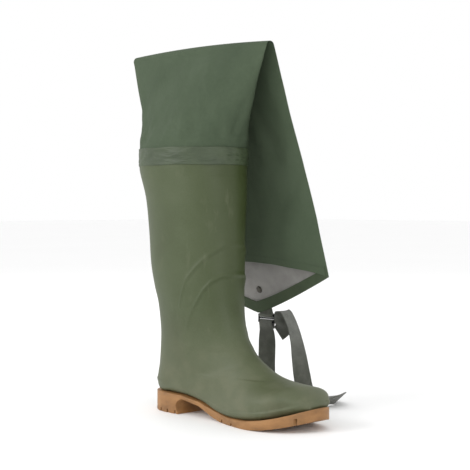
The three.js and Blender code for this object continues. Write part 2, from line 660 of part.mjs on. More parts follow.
// The strap's route, one hand-set point to a line: place, then the way its width runs. The first two
// numbers of a place are from the hinge, and the third is its height where the hinge is 126.75 high.
const STRAP_ROUTE = [
    [[0, 2.93, 107], [1, 0, 0]],
    [[0, 3.23, 112.5], [1, 0, 0]],
    [[0, 3.23, 116.8], [1, 0, 0]],
    [[0, 2.33, 119.1], [1, 0, 0]],
    [[0, 0, 120.1], [1, 0, 0]],
    [[0, -2.32, 119.1], [1, 0, 0]],
    [[0, -3.22, 116.8], [1, 0, 0]],
    [[0.4, -3.17, 111], [1, 0, 0]],
    [[3, -3.67, 101], [0.95, 0.25, 0]],
    [[6.5, -6.27, 86], [0.8, 0.6, 0]],
    [[8, -8.27, 70], [0.69, 0.72, 0]],
    [[8, -8.77, 52], [0.69, 0.72, 0]],
    [[8.5, -7.77, 30], [0.8, 0.6, 0]],
    [[10, -2.27, 12], [0.97, 0.24, 0]],
    [[15, 10.73, 2.4], [1, -0.2, 0]],
    [[28, 31.73, 1.4], [0.85, -0.53, 0]],
    [[52, 48.73, 1.8], [0.45, -0.9, -0.05]],
    [[80, 55.73, 4.5], [0.05, -0.95, -0.25]],
    [[102, 47.73, 9.4], [-0.45, -0.6, -0.64]],
    [[109, 31.73, 9.6], [-0.76, -0.05, -0.64]],
    [[102, 14.73, 7.5], [-0.85, 0.25, -0.4]],
    [[90, 1.73, 10], [-0.93, -0.1, -0.3]],
    [[82, -5.27, 24], [-0.8, -0.55, 0]],
    [[78, -8.27, 46], [-0.55, -0.83, 0]],
    [[74, -9.27, 70], [-0.3, -0.95, 0]],
    [[68, -9.27, 96], [0, -1, 0]],
    [[57, -8.77, 121], [0.1, -0.99, 0]],
    [[45, -7.27, 134], [0.1, -0.99, 0]],
    [[35.5, -4.77, 134.5], [-0.1, -1, 0]],
    [[31.5, 0.73, 123], [-0.5, -0.85, 0.1]],
    [[27, 7.73, 110], [-0.9, -0.4, 0.1]],
    [[16, 8.43, 100], [-1, 0, 0.15]],
];
const ROUTE_HINGE_HEIGHT = 126.75;
// From this height up, the strap moves with the hinge, and on the ground it stays.
const ROUTE_FREE_HEIGHT = 100;
const STRAP_STEPS = 150;
// The strap's section, from edge to edge on one face and back on the other, so that it can twist.
const STRAP_SECTION = [
    ...[-1, -0.5, 0, 0.5, 1].map((side) => [side, -1]),
    ...[1, 0.5, 0, -0.5, -1].map((side) => [side, 1]),
];

function strapPlace([x, y, z]) {
    const lifted = (hinge.z - ROUTE_HINGE_HEIGHT) * Math.min(z / ROUTE_FREE_HEIGHT, 1);
    return new THREE.Vector3(hinge.x + x, hinge.y + y, z + lifted);
}

function makeStrap() {
    const route = new THREE.CatmullRomCurve3(STRAP_ROUTE.map(([place]) => strapPlace(place)));
    const widths = new THREE.CatmullRomCurve3(
        STRAP_ROUTE.map(([, width]) => new THREE.Vector3(...width)),
    );
    const rings = Array.from({ length: STRAP_STEPS + 1 }, (_, k) => {
        const place = route.getPoint(k / STRAP_STEPS);
        const run = route.getTangent(k / STRAP_STEPS);
        const width = widths.getPoint(k / STRAP_STEPS);
        width.addScaledVector(run, -width.dot(run)).normalize();
        const across = new THREE.Vector3().crossVectors(run, width);
        return STRAP_SECTION.map(([side, face]) => place.clone()
            .addScaledVector(width, (side * STRAP_WIDTH) / 2)
            .addScaledVector(across, (face * STRAP_THICKNESS) / 2));
    });
    return solid(loft(rings));
}
addPiece('belt_strap', makeStrap(), WEBBING);

export default part;
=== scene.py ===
# %% [markdown]
# # A thigh wader, made in Blender around its measured frame
#
# This is a lesson in cells. The frame holds the boot, the leg, the folded cuff and the belt strap
# as plain solids with real joints. Here each of them gets the surface that a maker would know:
# moulded PVC, coated cloth, knit lining, webbing, and a tan cleated sole. Every piece is built in
# metres in the frame's own space, with +X to the toe, +Y to the inner side of the leg and +Z up.

# %% Load the frame
import json
import math
import bmesh
import bpy
import numpy as np
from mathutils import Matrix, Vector, noise


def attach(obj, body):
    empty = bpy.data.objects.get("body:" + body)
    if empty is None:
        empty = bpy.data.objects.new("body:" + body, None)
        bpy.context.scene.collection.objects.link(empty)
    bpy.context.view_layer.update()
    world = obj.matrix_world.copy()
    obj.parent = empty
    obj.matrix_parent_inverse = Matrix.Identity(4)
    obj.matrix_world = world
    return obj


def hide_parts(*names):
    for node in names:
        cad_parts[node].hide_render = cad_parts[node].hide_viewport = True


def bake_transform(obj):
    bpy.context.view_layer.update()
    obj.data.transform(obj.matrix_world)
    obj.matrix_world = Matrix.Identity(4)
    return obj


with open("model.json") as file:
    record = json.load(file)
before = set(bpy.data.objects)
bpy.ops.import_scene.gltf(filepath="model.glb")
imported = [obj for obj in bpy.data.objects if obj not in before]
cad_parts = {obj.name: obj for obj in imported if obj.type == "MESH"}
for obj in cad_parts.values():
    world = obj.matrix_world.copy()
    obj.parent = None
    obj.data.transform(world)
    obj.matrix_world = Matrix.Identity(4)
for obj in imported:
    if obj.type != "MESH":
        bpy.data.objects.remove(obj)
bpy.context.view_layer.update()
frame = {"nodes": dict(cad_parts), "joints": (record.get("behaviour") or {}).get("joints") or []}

# %% [markdown]
# ## The camera
#
# The camera comes first, because a cord is judged by what the camera sees. It stands low, in front
# of the toe and to the outer side, about a metre and three quarters away, with a long lens, so that
# the boot's upright lines stay nearly parallel.

# %% Camera
CAMERA_PLACE = Vector((1.269, -1.169, 0.2944))
CAMERA_TURN = math.radians(45.39)
CAMERA_DIP = math.radians(1.52)
LENS_MM = 93.5

camera_data = bpy.data.cameras.new("camera")
camera_data.lens = LENS_MM
camera_data.sensor_width = 36.0
camera = bpy.data.objects.new("camera", camera_data)
bpy.context.scene.collection.objects.link(camera)
looking = Vector((
    -math.sin(CAMERA_TURN) * math.cos(CAMERA_DIP),
    math.cos(CAMERA_TURN) * math.cos(CAMERA_DIP),
    -math.sin(CAMERA_DIP),
))
camera.location = CAMERA_PLACE
camera.rotation_euler = looking.to_track_quat("-Z", "Y").to_euler()
bpy.context.scene.camera = camera
print("camera looks along", [round(x, 3) for x in looking])

# %% [markdown]
# ## Small tools for meshes
#
# Most of this object is cloth and moulded skin, which no primitive resembles. Such a skin is a grid:
# rows of points along it and columns round it. One helper turns a grid into faces, and keeps a UV
# map in metres, so that a weave has the same size everywhere.

# %% Grids into meshes
MM = 0.001


def new_piece(name, mesh):
    piece = bpy.data.objects.new(name, mesh)
    bpy.context.scene.collection.objects.link(piece)
    return piece


def choose_only(piece):
    bpy.ops.object.select_all(action="DESELECT")
    piece.select_set(True)
    bpy.context.view_layer.objects.active = piece


def apply_modifier(piece, kind, **settings):
    choose_only(piece)
    modifier = piece.modifiers.new(kind.lower(), kind)
    for key, value in settings.items():
        setattr(modifier, key, value)
    bpy.ops.object.modifier_apply(modifier=modifier.name)


def smooth(piece, angle=None):
    choose_only(piece)
    if angle is None:
        bpy.ops.object.shade_smooth()
    else:
        bpy.ops.object.shade_smooth_by_angle(angle=math.radians(angle))


def grid_normals(grid):
    """The outward normal at each point of a grid whose columns run round by the right hand."""
    along = np.gradient(grid, axis=0)
    across = np.roll(grid, -1, axis=1) - np.roll(grid, 1, axis=1)
    normals = np.cross(across, along)
    return normals / np.maximum(np.linalg.norm(normals, axis=2, keepdims=True), 1e-12)


def grid_faces(rows, columns):
    faces = []
    for r in range(rows - 1):
        for c in range(columns):
            d = (c + 1) % columns
            low, high = r * columns, (r + 1) * columns
            faces.append((low + c, low + d, high + d, high + c))
    return faces


def lay_uv(mesh, grid):
    """A UV map in metres: U runs round the piece and V along it."""
    rows, columns = grid.shape[:2]
    step_round = np.linalg.norm(np.roll(grid, -1, axis=1) - grid, axis=2).mean(axis=0)
    u = np.concatenate([[0], np.cumsum(step_round)])
    step_along = np.linalg.norm(np.diff(grid, axis=0), axis=2).mean(axis=1)
    v = np.concatenate([[0], np.cumsum(step_along)])
    layer = mesh.uv_layers.new(name="cloth")
    for face in mesh.polygons:
        cells = [(i % (rows * columns)) for i in face.vertices]
        wraps = {0, columns - 1} <= {i % columns for i in cells}
        for loop, i in zip(face.loop_indices, cells):
            column = i % columns
            if wraps and column == 0:
                column = columns
            layer.data[loop].uv = (u[column], v[i // columns])


def skin(name, grid):
    """A single sheet of faces on a grid of points."""
    rows, columns = grid.shape[:2]
    mesh = bpy.data.meshes.new(name)
    mesh.from_pydata(grid.reshape(-1, 3).tolist(), [], grid_faces(rows, columns))
    lay_uv(mesh, grid)
    return new_piece(name, mesh)


def walled(name, outer, inner, normals, materials):
    """A sheet of cloth with two faces: the outer wall, the inner wall, and a rim at each end.
    The walls keep the grid's own normals, so that two sheets cut from one cloth show no seam."""
    rows, columns = outer.shape[:2]
    count = rows * columns
    outside = grid_faces(rows, columns)
    inside = [tuple(i + count for i in reversed(face)) for face in outside]
    rims = []
    for c in range(columns):
        d = (c + 1) % columns
        rims.append((d, c, c + count, d + count))
        last = (rows - 1) * columns
        rims.append((last + c, last + d, last + d + count, last + c + count))
    mesh = bpy.data.meshes.new(name)
    points = np.concatenate([outer.reshape(-1, 3), inner.reshape(-1, 3)])
    mesh.from_pydata(points.tolist(), [], outside + inside + rims)
    lay_uv(mesh, outer)
    for material in materials:
        mesh.materials.append(material)
    flat = normals.reshape(-1, 3)
    wall_normals = np.concatenate([flat, -flat])
    split = np.zeros((len(mesh.loops), 3))
    for k, face in enumerate(mesh.polygons):
        face.use_smooth = True
        face.material_index = 0 if k < len(outside) or k >= 2 * len(outside) else 1
        for loop, vertex in zip(face.loop_indices, face.vertices):
            split[loop] = wall_normals[vertex] if k < 2 * len(outside) else face.normal
    mesh.normals_split_custom_set(split.tolist())
    return new_piece(name, mesh)


print("mesh tools are ready")

# %% [markdown]
# ## Shader maths as expressions
#
# A finish is a few numbers that vary over the surface: how dark, how rough, how high. Writing them
# as sums and products is easier to read than a page of links. The class below wraps one socket, so
# that an expression on values adds its Math nodes, and one method adds any other node.

# %% Values and finishes
class Value:
    def __init__(self, finish, socket):
        self.finish = finish
        self.socket = socket

    def maths(self, operation, first, second=None):
        inputs = {0: first} if second is None else {0: first, 1: second}
        return self.finish.node("ShaderNodeMath", {"operation": operation}, inputs)

    def __add__(self, other):
        return self.maths("ADD", self, other)

    def __sub__(self, other):
        return self.maths("SUBTRACT", self, other)

    def __mul__(self, other):
        return self.maths("MULTIPLY", self, other)

    def __rsub__(self, other):
        return self.maths("SUBTRACT", other, self)

    __radd__ = __add__
    __rmul__ = __mul__

    def wave(self):
        return self.maths("SINE", self)

    def between(self, low, high):
        """0 below low, 1 above high, and a smooth step between them."""
        settings = {"interpolation_type": "SMOOTHSTEP"}
        return self.finish.node("ShaderNodeMapRange", settings, {"Value": self, 1: low, 2: high})


class Finish:
    def __init__(self, name):
        self.material = bpy.data.materials.new(name)
        self.material.use_nodes = True
        self.tree = self.material.node_tree
        self.shader = self.tree.nodes["Principled BSDF"]
        self.column = 0
        self.places = self.node("ShaderNodeTexCoord", {}, {}, "Object")
        self.thread = self.node("ShaderNodeTexCoord", {}, {}, "UV")

    def node(self, kind, settings, inputs, output=0):
        node = self.tree.nodes.new(kind)
        self.column -= 1
        node.location = (self.column * 60, (self.column % 5) * 140)
        for key, value in settings.items():
            if key == "stops":
                ramp = node.color_ramp
                while len(ramp.elements) < len(value):
                    ramp.elements.new(1.0)
                for element, (place, colour) in zip(ramp.elements, value):
                    element.position = place
                    element.color = (*colour, 1.0)
            else:
                setattr(node, key, value)
        for key, value in inputs.items():
            self.put(node.inputs[key], value)
        return Value(self, node.outputs[output])

    def put(self, socket, value):
        if isinstance(value, Value):
            self.tree.links.new(value.socket, socket)
        else:
            socket.default_value = value

    def noise(self, scale, detail=3.0, source=None, stretch=None, roughness=0.55):
        place = source or self.places
        if stretch is not None:
            place = self.node("ShaderNodeVectorMath", {"operation": "MULTIPLY"}, {0: place, 1: stretch})
        inputs = {"Vector": place, "Scale": scale, "Detail": detail, "Roughness": roughness}
        return self.node("ShaderNodeTexNoise", {}, inputs)

    def axis(self, letter, source=None):
        place = source or self.places
        return self.node("ShaderNodeSeparateXYZ", {}, {0: place}, "XYZ".index(letter))

    def ramp(self, factor, *stops):
        return self.node("ShaderNodeValToRGB", {"stops": stops}, {"Fac": factor})

    def mix(self, factor, first, second):
        inputs = {0: factor, 6: first, 7: second}
        return self.node("ShaderNodeMix", {"data_type": "RGBA"}, inputs, 2)

    def surface(self, colour, rough, height=None, strength=0.3, distance=0.001, **fixed):
        self.put(self.shader.inputs["Base Color"], colour)
        self.put(self.shader.inputs["Roughness"], rough)
        if height is not None:
            inputs = {"Height": height, "Strength": strength, "Distance": distance}
            self.put(self.shader.inputs["Normal"], self.node("ShaderNodeBump", {}, inputs))
        for key, value in fixed.items():
            self.shader.inputs[key.replace("_", " ")].default_value = value
        return self.material


def tone(red, green, blue):
    """A paint-card colour, 0 to 255, as the linear light that a shader wants."""
    def linear(level):
        level = level / 255
        return level / 12.92 if level <= 0.04045 else ((level + 0.055) / 1.055) ** 2.4
    return tuple(linear(level) for level in (red, green, blue))


def rgba(colour):
    return (*colour, 1.0)


print("shader tools are ready")

# %% [markdown]
# ## The finishes
#
# Coated cloth is a fine plain weave under a matte skin, so it shows soft mottling, a faint crossing
# of threads, and paler rubbed places; towards the inner side, where the cuff hangs, it is also painted
# paler as painted light. The boot is moulded PVC: smooth, a little waxy, with scuffs low on the foot,
# and painted shade on the front of the shin. The sole is a tan rubber compound, marbled and dusty.
# Each finish states its size in metres, because its patterns read the object's own space.

# %% Cloth and knit
WEAVE_PITCH = 0.0009
# Painted light: how much paler the cloth is painted towards +Y, the inner side where the cuff hangs, and
# over which span.
INNER_SIDE_PAINTED_LIGHT, INNER_SIDE_LIGHT_FROM_TO = 0.11, (0.015, 0.075)
KNIT_PITCH = 0.0022


def weave_height(finish, pitch):
    """Over and under: two sets of threads that cross."""
    turns = 2 * math.pi / pitch
    u = (finish.axis("X", finish.thread) * turns).wave()
    v = (finish.axis("Y", finish.thread) * turns).wave()
    return u * v


def coated_cloth(name, deep, mid, pale):
    finish = Finish(name)
    mottle = finish.noise(9.0, 4.0)
    fine = finish.noise(210.0, 3.0)
    rubbed = finish.noise(26.0, 5.0, stretch=(1.0, 1.0, 0.4)).between(0.60, 0.78)
    colour = finish.ramp(mottle * 0.75 + fine * 0.25, (0.30, deep), (0.50, mid), (0.70, pale))
    wear_and_painted_light = finish.mix(rubbed * 0.12, colour, rgba(pale))
    # Painted light, not wear: the cloth turns paler towards the inner side, to stand in for light in the
    # shaded gap beside the leg.
    inner_side_light_mask = finish.axis("Y").between(*INNER_SIDE_LIGHT_FROM_TO)
    wear_and_painted_light = finish.mix(inner_side_light_mask * INNER_SIDE_PAINTED_LIGHT, wear_and_painted_light, rgba(tone(122, 138, 112)))
    rough = 0.66 + fine * 0.16 - rubbed * 0.1
    height = weave_height(finish, WEAVE_PITCH) * 0.35 + fine * 0.5 + mottle * 0.6
    return finish.surface(
        wear_and_painted_light, rough, height, 0.35, 0.0006,
        Specular_IOR_Level=0.15,
    )


LEG_GREEN = coated_cloth("coated_cloth", tone(61, 73, 56), tone(69, 81, 63), tone(77, 89, 71))
# Painted shade: the turned hem is the same coated cloth in darker tones, for the shade inside the cuff's
# mouth.
HEM_PAINTED_SHADE = coated_cloth("hem_cloth_painted_shade", tone(54, 64, 46), tone(62, 73, 54), tone(74, 84, 64))

knit = Finish("knit_lining")
knit_shade = knit.noise(40.0, 4.0)
knit_rows = weave_height(knit, KNIT_PITCH)
KNIT_GREY = knit.surface(
    knit.ramp(knit_shade + knit_rows * 0.08, (0.3, tone(140, 138, 134)), (0.7, tone(164, 161, 158))),
    0.9 + knit_shade * 0.08, knit_rows + knit_shade, 0.5, 0.0008, Sheen_Weight=0.25,
)
print("cloth finishes", LEG_GREEN.name, HEM_PAINTED_SHADE.name, KNIT_GREY.name)

# %% Moulded finishes
pvc = Finish("boot_pvc")
pvc_cloud = pvc.noise(11.0, 5.0)
pvc_grain = pvc.noise(420.0, 2.0)
pvc_scuff = pvc.noise(55.0, 6.0, stretch=(1.0, 1.0, 0.35)).between(0.58, 0.75)
pvc_low = 1 - pvc.axis("Z").between(0.02, 0.16)
pvc_dust = pvc_low * pvc.noise(34.0, 5.0).between(0.40, 0.70)
pvc_colour = pvc.ramp(
    pvc_cloud * 0.8 + pvc_grain * 0.2,
    (0.30, tone(55, 64, 33)), (0.50, tone(65, 75, 46)), (0.72, tone(75, 83, 58)),
)
# Painted shade: the front of the shaft, above the ankle, is darkened to a deep green for the shade on that
# side.
pvc_shin_painted_shade = pvc.axis("X").between(0.03, 0.09) * pvc.axis("Z").between(0.10, 0.19)
pvc_colour = pvc.mix(pvc_shin_painted_shade * 0.55, pvc_colour, rgba(tone(44, 56, 14)))
pvc_colour = pvc.mix(pvc_scuff * 0.25, pvc_colour, rgba(tone(108, 111, 90)))
pvc_colour = pvc.mix(pvc_low * 0.20 + pvc_dust * 0.18, pvc_colour, rgba(tone(124, 122, 102)))
BOOT_PVC = pvc.surface(
    pvc_colour, 0.44 + pvc_cloud * 0.14 + pvc_scuff * 0.14 + pvc_dust * 0.15,
    pvc_grain * 0.25 + pvc_cloud, 0.25, 0.0007, Specular_IOR_Level=0.42,
)

rubber = Finish("sole_pvc")
rubber_marble = rubber.noise(48.0, 6.0, stretch=(0.7, 1.0, 1.6))
rubber_grain = rubber.noise(600.0, 2.0)
rubber_dirt = rubber.noise(85.0, 5.0).between(0.50, 0.72) * (1 - rubber.axis("Z").between(0.004, 0.03))
rubber_colour = rubber.ramp(
    rubber_marble, (0.30, tone(124, 88, 50)), (0.50, tone(142, 101, 58)), (0.70, tone(156, 113, 67)),
)
SOLE_TAN = rubber.surface(
    rubber.mix(rubber_dirt * 0.25, rubber_colour, rgba(tone(112, 90, 66))),
    0.58 + rubber_dirt * 0.25, rubber_grain * 0.4 + rubber_marble, 0.3, 0.0006,
)

band = Finish("welded_tape")
band_cloud = band.noise(30.0, 5.0)
BAND_GREEN = band.surface(
    band.ramp(band_cloud, (0.3, tone(46, 58, 36)), (0.7, tone(64, 76, 52))),
    0.42 + band_cloud * 0.2,
    band.noise(60.0, 5.0, stretch=(0.4, 0.4, 2.2)) + band_cloud * 0.4, 0.8, 0.0030,
)
seam = Finish("seam_tape")
SEAM_GREY = seam.surface(
    seam.ramp(seam.noise(60.0, 4.0), (0.3, tone(80, 88, 74)), (0.7, tone(96, 103, 88))),
    0.5, seam.noise(300.0, 3.0), 0.3, 0.0005,
)
foam = Finish("foam_footbed")
foam_cells = foam.noise(500.0, 4.0)
FOAM_GREY = foam.surface(
    foam.ramp(foam_cells, (0.3, tone(66, 68, 66)), (0.7, tone(86, 88, 84))),
    0.92, foam_cells, 0.5, 0.0008,
)
print("moulded finishes", BOOT_PVC.name, SOLE_TAN.name, BAND_GREEN.name, SEAM_GREY.name, FOAM_GREY.name)

# %% Webbing, plastic and metal
web = Finish("webbing")
web_turns = 2 * math.pi / 0.0016
web_u = web.axis("X", web.thread)
web_v = web.axis("Y", web.thread)
web_ribs = ((web_u + web_v) * web_turns).wave() * ((web_u - web_v) * web_turns).wave()
web_shade = web.noise(70.0, 4.0)
web_colour = web.ramp(
    web_shade + web_ribs * 0.12,
    (0.25, tone(70, 72, 63)), (0.5, tone(85, 88, 78)), (0.8, tone(106, 107, 99)),
)
WEB_CHARCOAL = web.surface(web_colour, 0.82, web_ribs + web_shade, 0.6, 0.0007, Sheen_Weight=0.3)

plastic = Finish("black_plastic")
plastic_scratch = plastic.noise(240.0, 5.0, stretch=(0.2, 1.0, 1.0)).between(0.55, 0.75)
BLACK_PLASTIC = plastic.surface(
    plastic.mix(plastic_scratch * 0.3, rgba(tone(26, 28, 27)), rgba(tone(62, 64, 60))),
    0.60 + plastic_scratch * 0.2, plastic_scratch, 0.15, 0.0003, Specular_IOR_Level=0.25,
)
metal = Finish("dark_metal")
metal_rust = metal.noise(420.0, 5.0).between(0.5, 0.7)
DARK_METAL = metal.surface(
    metal.mix(metal_rust, rgba(tone(70, 68, 62)), rgba(tone(58, 46, 36))),
    0.35 + metal_rust * 0.35, metal_rust, 0.3, 0.0003, Metallic=0.85,
)
thread = Finish("sewing_thread")
thread_shade = thread.noise(900.0, 2.0)
THREAD = thread.surface(
    thread.ramp(thread_shade, (0.3, tone(44, 54, 40)), (0.7, tone(66, 76, 58))),
    0.8, thread_shade, 0.3, 0.0002,
)
print("small finishes", WEB_CHARCOAL.name, BLACK_PLASTIC.name, DARK_METAL.name, THREAD.name)

# %% [markdown]
# ## The shape of the cloth tube
#
# The leg is one flattened tube of cloth. It rises from the oval of the calf to a flat fold, bends
# over the fold line, and hangs down the inner side as the cuff. The functions here give a point of
# that tube at any place round it and along it, at the same sizes as the frame's solids.

# %% Sizes of the tube, in millimetres
BOOT_TOP = 356.0
CALF_LENGTH, CALF_WIDTH, CALF_X = 171.0, 132.0, -0.6
BAND_LOW, BAND_HIGH = 346.0, 370.0
HINGE_Y, HINGE_Z = 10.0, 502.5
FOLD_MIDDLE, FOLD_GAP, FOLD_WIDTH, FOLD_X = 7.5, 4.0, 274.0, 4.0
CUFF_CREASE, CUFF_PEAK, CUFF_DIP = 326.0, 66.0, 21.0
MOUTH_WIDTH, MOUTH_GAP, CUFF_BULGE, PEAK_X = 312.0, 11.0, 24.0, -5.0
WRAP_LENGTH = 270.0
LEG_DROP = HINGE_Z - BOOT_TOP
CUFF_LEAN = math.atan(
    (CALF_WIDTH / 2 - CUFF_BULGE * math.sin(math.pi * LEG_DROP / WRAP_LENGTH)) / LEG_DROP
)
CUFF_OUT = Vector((0.0, math.cos(CUFF_LEAN), math.sin(CUFF_LEAN)))
CUFF_DOWN = Vector((0.0, math.sin(CUFF_LEAN), -math.cos(CUFF_LEAN)))
CREASE_INSET = 2.0


def mix(a, b, share):
    return a + (b - a) * share


def clamp(value):
    return min(max(value, 0.0), 1.0)


def ease(low, high, value):
    t = clamp((value - low) / (high - low))
    return t * t * (3 - 2 * t)


def folded_section(turn, inset=0.0, half_width=FOLD_WIDTH / 2, half_gap=FOLD_GAP):
    crease = CREASE_INSET + inset if inset > 0 else inset
    x = math.cos(turn)
    off = math.copysign(half_gap - inset, math.sin(turn)) * (1 - x * x)
    return (half_width - crease) * x, off


def leg_point(turn, height, inset=0.0):
    share = clamp((height - BAND_HIGH) / (HINGE_Z - BAND_HIGH))
    flat_x, flat_off = folded_section(turn, inset)
    oval_x = math.cos(turn) * (CALF_LENGTH / 2 - inset) + CALF_X
    oval_y = math.sin(turn) * (CALF_WIDTH / 2 - inset)
    return Vector((
        mix(oval_x, flat_x + FOLD_X, share),
        mix(oval_y, HINGE_Y - FOLD_MIDDLE + flat_off, share),
        height,
    ))


def fold_point(turn, angle, inset=0.0):
    x, off = folded_section(turn, inset)
    radius = FOLD_MIDDLE - off
    return Vector((FOLD_X + x, HINGE_Y - radius * math.cos(angle), HINGE_Z + radius * math.sin(angle)))


def hem_distance(x, far):
    half = MOUTH_WIDTH / 2
    if far:
        reach = half - math.copysign(1.0, x - PEAK_X) * PEAK_X
        return CUFF_CREASE + CUFF_PEAK * (1 - min(abs(x - PEAK_X) / reach, 1.0) ** 1.15)
    return CUFF_CREASE - CUFF_DIP * (1 - min(abs(x) / half, 1.0) ** 2)


def cuff_point(turn, travel, inset=0.0):
    run = clamp(travel)
    width = mix(FOLD_WIDTH, MOUTH_WIDTH, run) / 2
    x, off = folded_section(turn, inset, width, mix(FOLD_GAP, MOUTH_GAP, run ** 1.5))
    distance = travel * hem_distance(x, off < 0)
    bow = CUFF_BULGE * math.sin(math.pi * clamp(distance / WRAP_LENGTH)) * (1 - (x / width) ** 2)
    outward = FOLD_MIDDLE - off + bow
    place = Vector((FOLD_X + x, HINGE_Y, HINGE_Z)) + CUFF_OUT * outward + CUFF_DOWN * distance
    return place, x, distance


print("cuff leans", round(math.degrees(CUFF_LEAN), 2), "degrees")

# %% [markdown]
# ## The belt strap
#
# Its middle follows the route of its solid exactly, on the same smooth curve.

# %% The strap's route
STRAP_ROUTE = [
    ((0, 2.93, 107), (1, 0, 0)), ((0, 3.23, 112.5), (1, 0, 0)), ((0, 3.23, 116.8), (1, 0, 0)),
    ((0, 2.33, 119.1), (1, 0, 0)), ((0, 0, 120.1), (1, 0, 0)), ((0, -2.32, 119.1), (1, 0, 0)),
    ((0, -3.22, 116.8), (1, 0, 0)), ((0.4, -3.17, 111), (1, 0, 0)), ((3, -3.67, 101), (0.95, 0.25, 0)),
    ((6.5, -6.27, 86), (0.8, 0.6, 0)), ((8, -8.27, 70), (0.69, 0.72, 0)),
    ((8, -8.77, 52), (0.69, 0.72, 0)), ((8.5, -7.77, 30), (0.8, 0.6, 0)),
    ((10, -2.27, 12), (0.97, 0.24, 0)), ((15, 10.73, 2.4), (1, -0.2, 0)),
    ((28, 31.73, 1.4), (0.85, -0.53, 0)), ((52, 48.73, 1.8), (0.45, -0.9, -0.05)),
    ((80, 55.73, 4.5), (0.05, -0.95, -0.25)), ((102, 47.73, 9.4), (-0.45, -0.6, -0.64)),
    ((109, 31.73, 9.6), (-0.76, -0.05, -0.64)), ((102, 14.73, 7.5), (-0.85, 0.25, -0.4)),
    ((90, 1.73, 10), (-0.93, -0.1, -0.3)), ((82, -5.27, 24), (-0.8, -0.55, 0)),
    ((78, -8.27, 46), (-0.55, -0.83, 0)), ((74, -9.27, 70), (-0.3, -0.95, 0)),
    ((68, -9.27, 96), (0, -1, 0)), ((57, -8.77, 121), (0.1, -0.99, 0)),
    ((45, -7.27, 134), (0.1, -0.99, 0)), ((35.5, -4.77, 134.5), (-0.1, -1, 0)),
    ((31.5, 0.73, 123), (-0.5, -0.85, 0.1)), ((27, 7.73, 110), (-0.9, -0.4, 0.1)),
    ((16, 8.43, 100), (-1, 0, 0.15)),
]
ROUTE_HINGE_HEIGHT = 126.75
ROUTE_FREE_HEIGHT = 100.0
joint_places = {joint["name"]: joint["pos_m"] for joint in frame["joints"]}
STRAP_HINGE = Vector(joint_places["strap_swing"]) / MM
STRAP_WIDTH, STRAP_THICKNESS = 25.0, 1.6


def smooth_curve(points, share):
    """A point of the centripetal curve through the points, at a share of its count of spans."""
    reach = (len(points) - 1) * share
    k = min(int(reach), len(points) - 2)
    t = reach - k
    b, c = points[k], points[k + 1]
    a = points[k - 1] if k > 0 else 2 * b - c
    d = points[k + 2] if k + 2 < len(points) else 2 * c - b
    spans = [max((q - p).length ** 0.5, 1e-4) for p, q in ((a, b), (b, c), (c, d))]
    slope_b = ((b - a) / spans[0] - (c - a) / (spans[0] + spans[1]) + (c - b) / spans[1]) * spans[1]
    slope_c = ((c - b) / spans[1] - (d - b) / (spans[1] + spans[2]) + (d - c) / spans[2]) * spans[1]
    return (
        b + slope_b * t + (3 * (c - b) - 2 * slope_b - slope_c) * t ** 2
        + (2 * (b - c) + slope_b + slope_c) * t ** 3
    )


def strap_place(offset):
    lifted = (STRAP_HINGE.z - ROUTE_HINGE_HEIGHT) * min(offset[2] / ROUTE_FREE_HEIGHT, 1.0)
    return Vector((STRAP_HINGE.x + offset[0], STRAP_HINGE.y + offset[1], offset[2] + lifted))


STRAP_ROWS = 330
strap_points = [strap_place(place) for place, _ in STRAP_ROUTE]
strap_widths = [Vector(width) for _, width in STRAP_ROUTE]
strap_line = [smooth_curve(strap_points, k / STRAP_ROWS) for k in range(STRAP_ROWS + 1)]
strap_length = sum((b - a).length for a, b in zip(strap_line, strap_line[1:]))
print("strap length", round(strap_length, 1), "mm")

# %% [markdown]
# The ribbon itself has a rounded selvedge at each edge, a hair thicker than the middle, and its UV
# map runs along it, so the woven ribs stay square to the edge wherever the strap turns.

# %% The strap's ribbon
SELVEDGE = [(-1.0, -0.35), (-0.985, -0.9), (-0.93, -1.0), (-0.86, -0.82), (-0.5, -0.8), (0.0, -0.8)]
half_section = SELVEDGE + [(-side, face) for side, face in reversed(SELVEDGE[:-1])]
strap_section = half_section + [(side, -face) for side, face in reversed(half_section)]

rows = []
for k in range(STRAP_ROWS + 1):
    share = k / STRAP_ROWS
    run = (smooth_curve(strap_points, min(share + 0.001, 1.0))
           - smooth_curve(strap_points, max(share - 0.001, 0.0))).normalized()
    width = smooth_curve(strap_widths, share)
    width = (width - run * width.dot(run)).normalized()
    face_way = run.cross(width)
    rows.append([
        (strap_line[k] + width * (side * STRAP_WIDTH / 2) + face_way * (face * STRAP_THICKNESS / 2)) * MM
        for side, face in strap_section
    ])
strap_mesh = skin("belt_webbing", np.array([[tuple(p) for p in row] for row in rows]))
strap_mesh.data.materials.append(WEB_CHARCOAL)
edit = bmesh.new()
edit.from_mesh(strap_mesh.data)
bmesh.ops.holes_fill(edit, edges=edit.edges[:], sides=0)
edit.to_mesh(strap_mesh.data)
edit.free()
smooth(strap_mesh, 50)
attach(strap_mesh, "strap")
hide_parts("belt_strap")
print("strap", len(strap_mesh.data.polygons), "faces")

# %% [markdown]
# ## Pieces that begin from their solids
#
# The ring, the tab, the rivet and the sole already have the right shape, but with razor edges and
# loose triangles. A copy is merged, its flat faces are joined, and, except on the ring, its edges are
# rounded, the way a moulded or filed edge is. The solid itself is left alone and only hidden.

